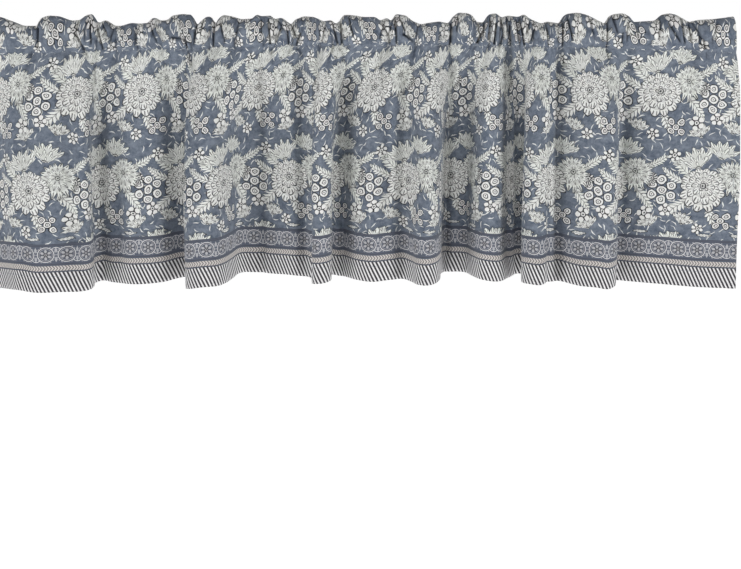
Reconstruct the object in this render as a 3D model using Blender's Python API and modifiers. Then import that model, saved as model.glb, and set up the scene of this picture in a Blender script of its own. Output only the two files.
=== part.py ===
"""A gathered window valance: one length of printed cotton with a pocket for a rod along its top.

Units are metres, +Z is up and the valance faces -Y. The origin is the middle of the line that the
rod's axis takes through the pocket. Tables are in millimetres.
"""

import math

import bmesh
import bpy
import numpy as np

MM = 0.001

# The cut cloth, before it is gathered
FLAT_WIDTH = 1524 * MM
DROP = 330 * MM  # from the pocket's stitching down to the hem, along the cloth
CLOTH = 1.5 * MM
SEAM = 1.5 * MM  # from the pocket's foot line to the drop's edge, which leaves 0.3 mm clear

# The pocket, round a rod
STITCH_Z = -22 * MM  # height of the stitching under the rod's axis
LOW_TOP_Z = 13 * MM  # top of the pocket where a tuck pulls it down on the rod
TUCK_OUT = 13 * MM  # how far the pocket's wall is from the axis in a tuck
STITCH_BACK = 3 * MM  # how far the stitching lies behind the axis in a tuck
STITCH_WAVE = 0.6  # share of a puff's depth that the stitching follows
FRONT_PUFF = 0.85  # share of a puff's depth that shows at the front
BACK_PUFF = 0.45  # share of a puff's depth that shows at the back
LEAST_PUFF, MOST_PUFF = 2.5 * MM, 13 * MM

FOLD_SETTLE = 62 * MM  # length of cloth over which the tucks open into the hem's folds

# The line of the hem, seen from above and read from left to right: how far each point is from the
# middle, how far it stands out from the rod's plane, and how far it is above a level hem
HEM_LINE = (  # across, out, up
    (-524, -16, 0),
    (-508, 2, 1),
    (-488, 30, 2.5),
    (-464, 41, 0),
    (-436, 39, 0),
    (-408, 32, -1),
    (-396, 24, 0),
    (-393, 8, 2),
    (-396, -10, 2),
    (-389, -20, 3.5),
    (-366, -10, 2.5),
    (-332, 9, 2.5),
    (-298, 0, 3.5),
    (-276, -16, 5.5),
    (-262, -26, 6),
    (-253, -24, 6),
    (-254, -6, 3),
    (-262, 12, -3),
    (-257, 30, -3),
    (-234, 43, 1),
    (-216, 35, 1),
    (-206, 20, 2),
    (-198, -4, 4),
    (-188, -28, 8),
    (-169, -42, 6),
    (-141, -34, 5),
    (-113, -18, 5),
    (-92, -8, 3),
    (-78, -2, 3),
    (-76, 8, 2),
    (-83, 18, 0),
    (-80, 27, 0),
    (-69, 31, 1),
    (-58, 24, 3),
    (-55, 8, 5),
    (-58, -10, 6),
    (-53, -21, 5),
    (-42, -16, 3),
    (-20, 7, 2),
    (3, 19, 1),
    (27, 14, 3),
    (46, 8, 2.5),
    (58, 20, 1),
    (66, 36, 0),
    (78, 45, 0),
    (91, 36, 1),
    (99, 14, 3),
    (102, -14, 6),
    (110, -32, 6),
    (124, -37, 7),
    (137, -30, 7),
    (145, -8, 6),
    (157, 12, 4),
    (174, 12, 1.5),
    (190, 4, 1),
    (201, -18, 1),
    (211, -36, 5),
    (221, -35, 5),
    (223, -18, 4),
    (215, -2, 3),
    (214, 16, 2),
    (223, 28, 2),
    (238, 32, 1),
    (246, 26, 3),
    (249, 15, 3),
    (257, 10, 2.5),
    (275, 13, 2),
    (296, 28, 0),
    (316, 38, 0),
    (331, 39, -2),
    (343, 28, 1),
    (347, 10, 3.5),
    (345, -6, 3),
    (353, -11, 3.5),
    (367, -5, 3.5),
    (406, 10, 3.5),
    (462, 19, 2),
    (514, 24, 2),
)

# Where the cloth is gathered to at the stitching
GATHER = (  # flat, across
    (0, -508),
    (17, -494),
    (144, -398),
    (271, -306),
    (398, -226),
    (525, -128),
    (652, -58),
    (779, 31),
    (906, 105),
    (1033, 169),
    (1160, 219),
    (1287, 291),
    (1414, 408),
    (1524, 504),
)

# The puffs of the pocket between its tucks, from left to right: how wide each is on the rod, how far
# its top rises over the tucks, where along its width it is highest, as a share, and how far its top
# leans to the right of its foot
PUFFS = (  # width, rise, peak, lean
    (54, 3.0, 0.10, -2),
    (45, 11.0, 0.30, 0),
    (26, 13.5, 0.80, 3),
    (17, 5.0, 0.60, 5),
    (27, 0.5, 0.50, 3),
    (30, 1.0, 0.50, -2),
    (33, 8.0, 0.40, -6),
    (29, 14.0, 0.65, -8),
    (11, 7.0, 0.50, -4),
    (24, 10.0, 0.60, 1),
    (34, 12.0, 0.40, 4),
    (39, 11.0, 0.60, 1),
    (16, 9.0, 0.40, 2),
    (23, 4.0, 0.70, 5),
    (38, 10.0, 0.40, 3),
    (17, 2.0, 0.50, -3),
    (54, 11.5, 0.30, -6),
    (19, 8.0, 0.50, -8),
    (39, 12.5, 0.20, -5),
    (32, 1.0, 0.50, 0),
    (44, 16.5, 0.50, 5),
    (24, 15.0, 0.50, 6),
    (14, 11.0, 0.50, 3),
    (12, 9.0, 0.50, 0),
    (16, 13.0, 0.50, -3),
    (18, 10.0, 0.40, -3),
    (34, 1.5, 0.50, 0),
    (60, 16.0, 0.28, -1),
    (40, 14.5, 0.35, -4),
    (24, 3.0, 0.50, -6),
    (59, 15.5, 0.45, -11),
    (60, 8.0, 0.90, -4),
)

# How far the stitching, and the cloth under it, is above or below its usual height
LIFT = (  # across, up
    (-508, -7),
    (-380, -3),
    (-240, 1),
    (-100, 5),
    (110, 6),
    (250, 3),
    (390, 0),
    (504, -4),
)

# How finely the solids are faceted
DROP_ROWS = (0, 9, 22, 40, 64, 98, 150, 212, 274, 330)  # mm below the stitching
PUFF_STEPS = 4  # columns across a puff
HEM_TURN = math.radians(24)  # the most that the hem's line turns from column to column
HEM_STEP = 17 * MM  # the most that columns are apart
HEM_CROWD = 4.5 * MM  # the least that a column of the hem's is from one of the puffs'
RING_STEPS = 12  # points round the pocket
FINE = 24  # points on each span of a smooth line


def column(table, index):
    return np.array([row[index] for row in table], float) * MM


def smooth_line(points):
    """A centripetal Catmull-Rom curve through the points, as a fine polyline."""
    points = np.asarray(points, float)
    ends = (2 * points[0] - points[1], 2 * points[-1] - points[-2])
    held = np.vstack((ends[0], points, ends[1]))
    line = []
    for p0, p1, p2, p3 in zip(held, held[1:], held[2:], held[3:]):
        t1 = math.sqrt(np.linalg.norm(p1 - p0))
        t2 = t1 + math.sqrt(np.linalg.norm(p2 - p1))
        t3 = t2 + math.sqrt(np.linalg.norm(p3 - p2))
        t = np.linspace(t1, t2, FINE, endpoint=False)[:, None]
        a1 = (t1 - t) / t1 * p0 + t / t1 * p1
        a2 = (t2 - t) / (t2 - t1) * p1 + (t - t1) / (t2 - t1) * p2
        a3 = (t3 - t) / (t3 - t2) * p2 + (t - t2) / (t3 - t2) * p3
        b1 = (t2 - t) / t2 * a1 + t / t2 * a2
        b2 = (t3 - t) / (t3 - t1) * a2 + (t - t1) / (t3 - t1) * a3
        line.append((t2 - t) / (t2 - t1) * b1 + (t - t1) / (t2 - t1) * b2)
    return np.vstack((*line, points[-1:]))


def lengths_along(line):
    steps = np.linalg.norm(np.diff(line, axis=0), axis=1)
    return np.concatenate(([0.0], np.cumsum(steps)))


def hem_line():
    """The hem's line, and the flat width of cloth up to each of its points."""
    line = smooth_line(np.column_stack([column(HEM_LINE, index) for index in range(3)]))
    along = lengths_along(line)
    return line, along * FLAT_WIDTH / along[-1]


def gather_line():
    """Flat width against the place on the rod, as a smooth rising line."""
    line = smooth_line(np.column_stack((column(GATHER, 0), column(GATHER, 1))))
    return line[:, 0], line[:, 1]


HEM, HEM_FLAT = hem_line()
GATHER_FLAT, GATHER_ACROSS = gather_line()


def tuck_places():
    """Where the tucks are across the rod, both ends included."""
    widths = column(PUFFS, 0)
    edges = np.concatenate(([0.0], np.cumsum(widths))) / widths.sum()
    left, right = GATHER_ACROSS[0], GATHER_ACROSS[-1]
    return left + edges * (right - left)


def puff_depth(width, flat):
    """How deep a sine-shaped puff of this width is when it takes up this length of cloth."""
    low, high = LEAST_PUFF, MOST_PUFF
    t = np.linspace(0, 1, 60)
    for _ in range(30):
        depth = (low + high) / 2
        arc = np.hypot(np.diff(width * t), np.diff(depth * np.sin(math.pi * t))).sum()
        low, high = (depth, high) if arc < flat else (low, depth)
    return (low + high) / 2


TUCKS = tuck_places()
TUCK_FLATS = np.interp(TUCKS, GATHER_ACROSS, GATHER_FLAT)
PUFF_DEPTHS = np.array(
    [puff_depth(w, f) for w, f in zip(np.diff(TUCKS), np.diff(TUCK_FLATS))]
)


def puff_at(flat):
    """Which puff the cloth is in at each flat place, and how far through it, from 0 to 1."""
    index = np.clip(np.searchsorted(TUCK_FLATS, flat, side="right") - 1, 0, len(PUFFS) - 1)
    share = (flat - TUCK_FLATS[index]) / np.diff(TUCK_FLATS)[index]
    return index, np.clip(share, 0, 1)


def puff_out(flat):
    """How far a puff stands out over its tucks."""
    index, share = puff_at(flat)
    return PUFF_DEPTHS[index] * np.sin(math.pi * share)


def puff_rise(flat):
    """How far the pocket's top rises over the tucks, highest at the puff's own peak."""
    index, share = puff_at(flat)
    peak = np.array([row[2] for row in PUFFS])[index]
    bent = np.where(share < peak, 0.5 * share / peak, 1 - 0.5 * (1 - share) / (1 - peak))
    return column(PUFFS, 1)[index] * np.sin(math.pi * bent) ** 0.6


def puff_lean(flat):
    """How far the pocket's top is to the right of its foot."""
    middles = (TUCK_FLATS[1:] + TUCK_FLATS[:-1]) / 2
    return np.interp(flat, middles, column(PUFFS, 3))


def stitch_line(flat):
    """The stitching under the pocket, as x, y and z."""
    x = np.interp(flat, GATHER_FLAT, GATHER_ACROSS)
    y = STITCH_BACK - STITCH_WAVE * puff_out(flat)
    z = STITCH_Z + np.interp(x, column(LIFT, 0), column(LIFT, 1))
    return np.column_stack((x, y, z))


def drop_surface(flat, down):
    """Points of the hanging cloth at flat places across and lengths down from the stitching."""
    top = stitch_line(flat)
    hem_x = np.interp(flat, HEM_FLAT, HEM[:, 0])
    hem_y = -np.interp(flat, HEM_FLAT, HEM[:, 1])
    opened = (1 - np.exp(-down / FOLD_SETTLE)) / (1 - math.exp(-DROP / FOLD_SETTLE))
    x = top[:, 0] + opened * (hem_x - top[:, 0])
    y = top[:, 1] + opened * (hem_y - top[:, 1])
    z = top[:, 2] - down + down / DROP * np.interp(flat, HEM_FLAT, HEM[:, 2])
    return np.column_stack((x, y, z))


def ring_surface(flat, turn):
    """Points of the pocket: turn is 0 at the top, positive down the front and negative down the
    back, and half a turn at the stitching."""
    stitch = stitch_line(flat)
    out = puff_out(flat)
    front = turn > 0
    reach = TUCK_OUT + np.where(front, FRONT_PUFF, BACK_PUFF) * out
    top_z = LOW_TOP_Z + puff_rise(flat)
    middle = (top_z + stitch[:, 2]) / 2
    half = (top_z - stitch[:, 2]) / 2
    fall = (1 - np.cos(turn)) / 2  # 0 at the top, 1 at the stitching
    fullness = np.abs(np.sin(turn)) ** 0.7
    x = stitch[:, 0] + (1 - fall) * puff_lean(flat)
    y = -np.sign(turn) * reach * fullness + fall**2 * stitch[:, 1]
    return np.column_stack((x, y, middle + half * np.cos(turn)))


def hem_columns():
    """Flat places of columns close enough together to follow the hem's turns."""
    headings = np.unwrap(np.arctan2(*np.diff(HEM[:, :2], axis=0).T[::-1]))
    places, start, heading = [0.0], 0.0, headings[0]
    for place, now in zip(HEM_FLAT[1:], headings):
        if abs(now - heading) > HEM_TURN or place - start > HEM_STEP:
            places.append(place)
            start, heading = place, now
    return np.array(places)


def puff_columns():
    """Flat places of the columns that the puffs need, each tuck among them."""
    steps = np.arange(PUFF_STEPS) / PUFF_STEPS
    places = [a + (b - a) * steps for a, b in zip(TUCK_FLATS, TUCK_FLATS[1:])]
    return np.concatenate((*places, TUCK_FLATS[-1:]))


def drop_columns():
    """The puffs' columns, with the hem's between them where there is room."""
    puffs = puff_columns()
    hem = [place for place in hem_columns() if np.abs(puffs - place).min() > HEM_CROWD]
    return np.sort(np.concatenate((puffs, hem)))


def grid_of(bm, columns, rows, place):
    """A grid of faces with its points set by place(column value, row value)."""
    made = bmesh.ops.create_grid(
        bm, x_segments=len(columns) - 1, y_segments=len(rows) - 1, size=0.5
    )
    verts = made["verts"]
    across = np.array([round((v.co.x + 0.5) * (len(columns) - 1)) for v in verts])
    along = np.array([round((v.co.y + 0.5) * (len(rows) - 1)) for v in verts])
    for vert, point in zip(verts, place(columns[across], rows[along])):
        vert.co = point


def cloth_object(name, bm, material, collection):
    mesh = bpy.data.meshes.new(name)
    bmesh.ops.recalc_face_normals(bm, faces=bm.faces)
    bm.to_mesh(mesh)
    bm.free()
    mesh.shade_smooth()
    mesh.materials.append(material)
    made = bpy.data.objects.new(name, mesh)
    collection.objects.link(made)
    thick = made.modifiers.new("cloth thickness", "SOLIDIFY")
    thick.thickness = CLOTH
    thick.offset = 0
    thick.use_even_offset = False
    return made


def build_drop(material, collection):
    """The hanging length of cloth, with its printed border and its hem."""
    bm = bmesh.new()
    rows = np.array(DROP_ROWS) * MM
    grid_of(bm, drop_columns(), rows, drop_surface)
    for vert in bm.verts:
        if vert.is_boundary and vert.co.z > STITCH_Z - 10 * MM:
            vert.co.z -= SEAM
    return cloth_object("drop", bm, material, collection)


def build_pocket(material, collection):
    """The pocket that the rod goes through: the cloth folded to the back and sewn down."""
    bm = bmesh.new()
    turns = np.linspace(-math.pi, math.pi, RING_STEPS + 1)
    grid_of(bm, puff_columns(), turns, ring_surface)
    bmesh.ops.remove_doubles(bm, verts=bm.verts, dist=0.01 * MM)
    return cloth_object("rod_pocket", bm, material, collection)


def cotton(name):
    material = bpy.data.materials.new(name)
    material.use_nodes = True
    shader = material.node_tree.nodes["Principled BSDF"]
    shader.inputs["Base Color"].default_value = (0.20, 0.24, 0.31, 1)
    shader.inputs["Roughness"].default_value = 0.9
    shader.inputs["Metallic"].default_value = 0.0
    return material


def main():
    for old in list(bpy.data.objects):
        bpy.data.objects.remove(old)
    collection = bpy.data.collections.new("window valance")
    bpy.context.scene.collection.children.link(collection)
    build_pocket(cotton("pocket cotton"), collection)
    build_drop(cotton("drop cotton"), collection)


main()
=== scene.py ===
"""Looks of a gathered window valance: a printed cotton cloth on the folds of its solids.

Metres, +Z up, facing -Y, with the origin on the line of the rod's axis. Tables and the print's own
sizes are in millimetres.
"""

import math

import bmesh
import bpy
import numpy as np
from mathutils import Matrix, Vector, noise


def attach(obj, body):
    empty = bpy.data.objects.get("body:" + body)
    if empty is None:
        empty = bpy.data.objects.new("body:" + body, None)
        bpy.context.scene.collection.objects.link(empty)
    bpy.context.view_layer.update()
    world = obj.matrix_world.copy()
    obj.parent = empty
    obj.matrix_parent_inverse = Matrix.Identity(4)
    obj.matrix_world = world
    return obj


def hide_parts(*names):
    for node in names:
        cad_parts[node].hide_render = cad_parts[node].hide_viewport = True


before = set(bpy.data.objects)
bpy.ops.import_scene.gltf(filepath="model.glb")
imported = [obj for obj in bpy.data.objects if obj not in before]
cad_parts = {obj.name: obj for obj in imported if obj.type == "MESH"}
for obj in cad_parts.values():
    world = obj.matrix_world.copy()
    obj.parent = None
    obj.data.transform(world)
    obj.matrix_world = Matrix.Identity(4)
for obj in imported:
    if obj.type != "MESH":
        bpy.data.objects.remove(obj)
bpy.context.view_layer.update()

# Rod pocket
# The top of the cloth, folded to the back over the rod and sewn down, which makes a flat tube. It
# is pushed together along the rod, so it stands up in puffs with tight tucks between them.

MM = 0.001
FLAT_WIDTH = 1524 * MM
DROP = 330 * MM  # from the pocket's stitching down to the hem, along the cloth
POCKET = 50 * MM  # from the stitching up to the top fold, along the cloth

STITCH_Z = -22 * MM
TUCK_OUT = 13 * MM  # how far the pocket's wall is from the rod's axis in a tuck
STITCH_BACK = -10.5 * MM
STITCH_WAVE = 0.7  # share of a puff's depth that the stitching follows
FRONT_PUFF, BACK_PUFF = 0.75, 0.45  # share of a puff's depth that each layer stands out
LEAST_PUFF, MOST_PUFF = 2.5 * MM, 13 * MM
TOP_SPAN = 2.5 * MM  # length to each side over which the top fold's height is evened out
WALL_BULGE, FOOT_BULGE = 0.7, 1.3  # powers that set how boxy the pocket is, below 1 for a flat wall

CREASE_OUT = 6.5 * MM  # how close to the rod's axis a crease is pressed
LIP_OUT = 2.5 * MM  # how far the cloth beside a crease stands out
LIP_AWAY = 2.2  # where that is, in widths of the crease
PINCH = 0.5  # share by which the lips of a crease are drawn together
PINCH_REACH = 1.8  # how far that reaches, in widths of the crease
CREASE_FADE = 0.6  # share of its depth that a crease loses at its foot

PUCKER_OUT, PUCKER_UP = 2.2 * MM, 1.8 * MM  # how far small gathers move the stitching
POCKET_PUCKER = 1.3 * MM  # and how far they push out the pocket just above it

# Soft unevenness and crumples: how deep, how long across and along the cloth, and the random seed.
# The puckers' own depth is 1, as it is given where they are used.
SEAM_SWAY = (2.5 * MM, 0.034, 1, 6.2)
POCKET_SWAY = (1.5 * MM, 0.011, 0.02, 8.1)
CRUMPLE = (3.2 * MM, 0.017, 0.013, 1.3)
FINE_CRUMPLE = (1.5 * MM, 0.0085, 0.008, 9.6)
PUCKER = (1, 11 * MM, 1, 4.7)
SWAY_TURN, CRUMPLE_TURN = 9 * MM, 12 * MM  # length of cloth that they take for a radian of turn

# Where the cloth is gathered to at the stitching
GATHER = (  # flat, across
    (0, -521), (17, -505), (144, -400), (271, -306), (398, -226), (525, -128), (652, -58),
    (779, 31), (906, 105), (1033, 169), (1160, 219), (1287, 291), (1414, 408), (1524, 504),
)

# The puffs between the tucks, from left to right
PUFFS = (  # width, lean
    (54, -2), (45, 0), (26, 3), (17, 5), (27, 3), (30, -2), (33, -6), (29, -8), (11, -4), (24, 1),
    (34, 4), (39, 1), (16, 2), (23, 5), (38, 3), (17, -3), (54, -6), (19, -8), (39, -5), (32, 0),
    (44, 5), (24, 6), (14, 3), (12, 0), (16, -3), (18, -3), (34, 0), (60, -1), (40, -4), (24, -6),
    (59, -11), (60, -4),
)

# The uneven top fold of the pocket: boxy bumps where the cloth stands up, and notches between
TOP_EDGE = (  # across, up
    (-520, 23), (-510, 22), (-494, 16), (-479, 10), (-458, 10), (-455, 20), (-444, 24),
    (-429, 23), (-413, 17), (-400, 18), (-391, 25), (-382, 26), (-380, 17), (-374, 14),
    (-365, 18), (-353, 10), (-343, 10), (-330, 14), (-319, 13), (-306, 14), (-302, 20),
    (-296, 21), (-290, 17), (-279, 18), (-273, 24), (-260, 26), (-246, 25), (-243, 17),
    (-239, 10), (-233, 17), (-225, 23), (-217, 21), (-215, 10), (-210, 19), (-203, 25),
    (-192, 23), (-178, 19), (-161, 20), (-158, 26), (-151, 23), (-136, 24), (-134, 19),
    (-122, 21), (-114, 15), (-109, 11), (-105, 18), (-92, 23), (-78, 22), (-65, 16), (-54, 18),
    (-48, 12), (-41, 18), (-39, 24), (-32, 25), (-21, 24), (-10, 22), (7, 22), (13, 17), (23, 21),
    (30, 15), (32, 24), (36, 26), (49, 24), (57, 17), (69, 12), (80, 14), (95, 16), (109, 13),
    (111, 20), (121, 28), (135, 27), (143, 22), (144, 16), (156, 14), (162, 25), (171, 27),
    (175, 26), (180, 21), (189, 24), (204, 22), (212, 26), (217, 21), (230, 15), (237, 13),
    (243, 16), (262, 13), (264, 21), (270, 26), (285, 28), (298, 25), (312, 18), (325, 12),
    (327, 22), (336, 26), (349, 27), (358, 22), (362, 15), (375, 16), (393, 17), (401, 25),
    (412, 27), (421, 25), (432, 19), (439, 15), (452, 18), (472, 19), (489, 21), (507, 23),
)

# Sharp creases that the tucks press into the front, from the top fold down into the drop
CREASES = (  # across and up at the top, across and up at the foot, share, width
    (-455, 6, -457, -18, 0.95, 1.8), (-404, -1, -390, -33, 0.95, 2.2),
    (-401, 17, -404, 1, 0.8, 1.9), (-388, 21, -390, 6, 0.8, 1.6),
    (-384, 13, -384, -13, 0.95, 1.8), (-377, 13, -367, -21, 0.95, 1.9),
    (-369, 20, -360, -8, 0.6, 1.6), (-354, 7, -358, -17, 0.55, 2.2),
    (-320, 10, -325, -17, 0.55, 2.2), (-303, 13, -292, -14, 0.55, 1.9),
    (-296, 16, -300, -4, 0.6, 1.6), (-273, -6, -255, -8, 0.8, 1.9), (-255, -7, -246, -48, 1, 1.9),
    (-238, 11, -243, -14, 0.95, 1.8), (-228, 22, -232, 4, 0.7, 1.5),
    (-214, 11, -216, -22, 1, 1.8), (-206, 20, -200, -12, 0.6, 1.7),
    (-180, 15, -186, -14, 0.55, 2.2), (-150, 18, -150, 0, 0.7, 1.5),
    (-140, 19, -136, -40, 1, 1.8), (-128, 20, -116, 2, 0.7, 1.5), (-122, 7, -129, -9, 0.8, 1.8),
    (-114, 4, -112, -24, 0.8, 1.6), (-109, 11, -101, -6, 0.95, 1.8),
    (-101, -17, -94, -31, 0.95, 1.8), (-96, -1, -103, -18, 0.95, 1.8),
    (-62, 12, -66, -12, 0.6, 1.7), (-53, 17, -43, -22, 0.95, 1.8), (-41, 17, -38, -36, 0.8, 2.2),
    (-30, 21, -24, -2, 0.7, 1.5), (14, 17, 26, -5, 0.95, 1.8), (20, 18, 12, -6, 0.6, 1.6),
    (26, -4, 24, -39, 0.8, 2.2), (28, 10, 22, -12, 0.6, 1.6), (33, 24, 36, -14, 1, 1.6),
    (39, 22, 47, 4, 0.8, 1.5), (45, -1, 57, -10, 0.95, 1.6), (65, 10, 63, -14, 0.55, 2.2),
    (111, 13, 108, -36, 0.95, 2.2), (120, 24, 118, 4, 0.6, 1.5), (147, 18, 150, -10, 0.8, 1.6),
    (154, 3, 142, -22, 1, 1.8), (156, 13, 155, -4, 0.8, 1.6), (164, 22, 162, -8, 0.9, 1.5),
    (172, 13, 169, -25, 1, 1.8), (179, 18, 182, -1, 0.95, 1.6), (182, -1, 178, -17, 0.95, 1.6),
    (186, 21, 187, 0, 0.7, 1.4), (191, 10, 193, -21, 1, 1.8), (193, -21, 197, -50, 0.95, 2),
    (199, 18, 203, -8, 0.8, 1.5), (205, 19, 212, -20, 1, 1.6), (218, 16, 213, 0, 0.7, 1.5),
    (225, 5, 219, -12, 0.8, 1.8), (240, 11, 244, -16, 0.55, 1.9), (264, 15, 264, -25, 1, 1.6),
    (264, -22, 268, -42, 0.95, 2), (270, 22, 276, -6, 0.7, 1.6), (300, 20, 306, -4, 0.5, 1.8),
    (325, -16, 329, -36, 0.95, 1.8), (326, 21, 325, -17, 1, 1.6), (332, 22, 338, 2, 0.8, 1.5),
    (346, -1, 345, -16, 0.8, 1.6), (353, 18, 352, -10, 0.6, 1.6), (363, 13, 371, -14, 0.55, 2.2),
    (398, 20, 396, -6, 0.5, 1.7), (408, 13, 424, -10, 0.8, 1.8), (425, 21, 431, -12, 1, 1.6),
    (436, 14, 440, -8, 0.8, 1.6), (441, 15, 459, -13, 0.8, 1.8), (448, 12, 452, -16, 0.6, 1.7),
    (458, -12, 462, -31, 0.55, 2.2), (474, 14, 468, -12, 0.4, 2),
)

# How far the stitching is above or below STITCH_Z
LIFT = (  # across, up
    (-508, -7), (-380, -3), (-240, 1), (-100, 5), (110, 6), (250, 3), (390, 0), (504, -4),
)


def column(table, index):
    return np.array([row[index] for row in table], float) * MM


def smooth_line(points, fine=24):
    """A centripetal Catmull-Rom curve through the points, as a fine polyline."""
    points = np.asarray(points, float)
    held = np.vstack((2 * points[0] - points[1], points, 2 * points[-1] - points[-2]))
    line = []
    for p0, p1, p2, p3 in zip(held, held[1:], held[2:], held[3:]):
        t1 = math.sqrt(np.linalg.norm(p1 - p0))
        t2 = t1 + math.sqrt(np.linalg.norm(p2 - p1))
        t3 = t2 + math.sqrt(np.linalg.norm(p3 - p2))
        t = np.linspace(t1, t2, fine, endpoint=False)[:, None]
        a1 = (t1 - t) / t1 * p0 + t / t1 * p1
        a2 = (t2 - t) / (t2 - t1) * p1 + (t - t1) / (t2 - t1) * p2
        a3 = (t3 - t) / (t3 - t2) * p2 + (t - t2) / (t3 - t2) * p3
        b1 = (t2 - t) / t2 * a1 + t / t2 * a2
        b2 = (t3 - t) / (t3 - t1) * a2 + (t - t1) / (t3 - t1) * a3
        line.append((t2 - t) / (t2 - t1) * b1 + (t - t1) / (t2 - t1) * b2)
    return np.vstack((*line, points[-1:]))


gather = smooth_line(np.column_stack((column(GATHER, 0), column(GATHER, 1))))
gather_flat, gather_across = gather.T
puff_edges = np.concatenate(([0.0], np.cumsum(column(PUFFS, 0))))
tucks = gather_across[0] + puff_edges / puff_edges[-1] * (gather_across[-1] - gather_across[0])
tuck_flats = np.interp(tucks, gather_across, gather_flat)


def puff_depth(width, flat):
    """How deep a sine-shaped puff of this width is when it takes up this length of cloth."""
    low, high = LEAST_PUFF, MOST_PUFF
    t = np.linspace(0, 1, 60)
    for _ in range(30):
        depth = (low + high) / 2
        arc = np.hypot(np.diff(width * t), np.diff(depth * np.sin(math.pi * t))).sum()
        low, high = (depth, high) if arc < flat else (low, depth)
    return (low + high) / 2


puff_depths = np.array([puff_depth(w, f) for w, f in zip(np.diff(tucks), np.diff(tuck_flats))])


def puff_at(flat):
    """Which puff the cloth is in at each flat place, and how far through it, from 0 to 1."""
    index = np.clip(np.searchsorted(tuck_flats, flat, side="right") - 1, 0, len(PUFFS) - 1)
    share = (flat - tuck_flats[index]) / np.diff(tuck_flats)[index]
    return index, np.clip(share, 0, 1)


def puff_out(flat):
    """How far out of its tucks the cloth stands at each flat place."""
    index, share = puff_at(flat)
    return puff_depths[index] * np.sin(math.pi * share) ** 0.7


def puff_lean(flat):
    """How far to the right of its foot the top of the pocket is."""
    middles = (tuck_flats[1:] + tuck_flats[:-1]) / 2
    return np.interp(flat, middles, column(PUFFS, 1))


def uneven(flat, down, depth, across, along, seed):
    """Soft random unevenness to both sides, with lumps of about the given sizes."""
    places = zip(flat / across, down / along)
    return depth * np.array([noise.noise(Vector((a, b, seed))) for a, b in places])


def crumpled(flat, down, depth, across, along, seed):
    """Unevenness with sharp valleys, as in cloth that has been pushed together."""
    return depth * (2 * np.abs(uneven(flat, down, 1, across, along, seed)) ** 0.8 - 0.5)


def puckers(flat):
    """Small irregular gathers of the stitching, about 11 mm apart."""
    return crumpled(flat, 0 * flat, *PUCKER)


def pressed(across, up):
    """How far the creases press the front in, from 0 to 1, how far their lips stand out, and how
    far the cloth beside them is drawn in across and up."""
    share_in, lips, drawn_x, drawn_z = (0 * across for _ in range(4))
    for x0, z0, x1, z1, deep, wide in CREASES:
        step = np.array((x1 - x0, z1 - z0)) * MM
        dx, dz = across - x0 * MM, up - z0 * MM
        share = np.clip((dx * step[0] + dz * step[1]) / (step @ step), 0, 1)
        beside_x, beside_z = dx - share * step[0], dz - share * step[1]
        away = np.hypot(beside_x, beside_z) / (wide * MM)
        fading = deep * (1 - CREASE_FADE * share**3)
        share_in = np.maximum(share_in, fading * np.exp(-(away**2)))
        lips = np.maximum(lips, fading * np.exp(-((away - LIP_AWAY) ** 2)))
        near = PINCH * fading * np.exp(-((away / PINCH_REACH) ** 2))
        drawn_x -= near * beside_x
        drawn_z -= near * beside_z
    return np.array((share_in, lips, drawn_x, drawn_z))


def seam_waver(flat):
    """How far the puckers lift the stitching."""
    return PUCKER_UP * puckers(flat + 0.3)


def stitch_line(flat):
    """Points of the pocket's stitching."""
    x = np.interp(flat, gather_flat, gather_across)
    y = STITCH_BACK - STITCH_WAVE * puff_out(flat) + PUCKER_OUT * puckers(flat)
    y += uneven(flat, 0 * flat, *SEAM_SWAY)
    z = STITCH_Z + np.interp(x, column(LIFT, 0), column(LIFT, 1)) + seam_waver(flat)
    return np.column_stack((x, y, z))


def pocket_surface(flat, turn):
    """Points of the pocket: turn is 0 at the top, positive down the front and negative down the
    back, and half a turn at the stitching."""
    stitch = stitch_line(flat)
    out = puff_out(flat)
    front = turn > 0
    lean = puff_lean(flat)
    above = stitch[:, 0] + lean + np.linspace(-TOP_SPAN, TOP_SPAN, 5)[:, None]
    top_z = np.interp(above, column(TOP_EDGE, 0), column(TOP_EDGE, 1)).mean(axis=0)
    fall = (1 - np.cos(turn)) / 2
    x = stitch[:, 0] + (1 - fall) * lean
    z = (top_z + stitch[:, 2]) / 2 + (top_z - stitch[:, 2]) / 2 * np.cos(turn)
    z += uneven(flat, turn * SWAY_TURN, *POCKET_SWAY) * np.sin(turn) ** 2
    reach = TUCK_OUT + np.where(front, FRONT_PUFF, BACK_PUFF) * out
    for wrinkles in (CRUMPLE, FINE_CRUMPLE):
        reach += crumpled(flat, turn * CRUMPLE_TURN, *wrinkles)
    reach += POCKET_PUCKER * puckers(flat) * fall**2
    bowed = np.abs(np.sin(turn))
    y = -np.sign(turn) * reach * bowed**WALL_BULGE + np.where(front, 0, fall**2) * stitch[:, 1]
    foot = stitch[:, 1] - (reach + stitch[:, 1]) * bowed**FOOT_BULGE
    y = np.where(turn > math.pi / 2, foot, y)
    share_in, lips, drawn_x, drawn_z = pressed(x, z) * np.where(front, 1, 0)
    x += drawn_x * bowed
    z += drawn_z * bowed
    y -= lips * LIP_OUT * bowed
    y += share_in * np.clip(2.5 * bowed, 0, 1) * (-CREASE_OUT - y)
    return np.column_stack((x, y, z))


SIDE_HEM = 10 * MM
THICK = 1.2 * MM  # of a side hem
HEM_SHARE = 0.5  # thickness of one layer of cloth, as a share of a side hem's


def put_in_scene(name, data):
    made = bpy.data.objects.new(name, data)
    bpy.context.scene.collection.objects.link(made)
    return made


def finished(name, bm, materials):
    """The built mesh as a smooth object of the scene."""
    mesh = bpy.data.meshes.new(name)
    bm.to_mesh(mesh)
    bm.free()
    mesh.shade_smooth()
    for material in materials:
        mesh.materials.append(material)
    return put_in_scene(name, mesh)


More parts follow.
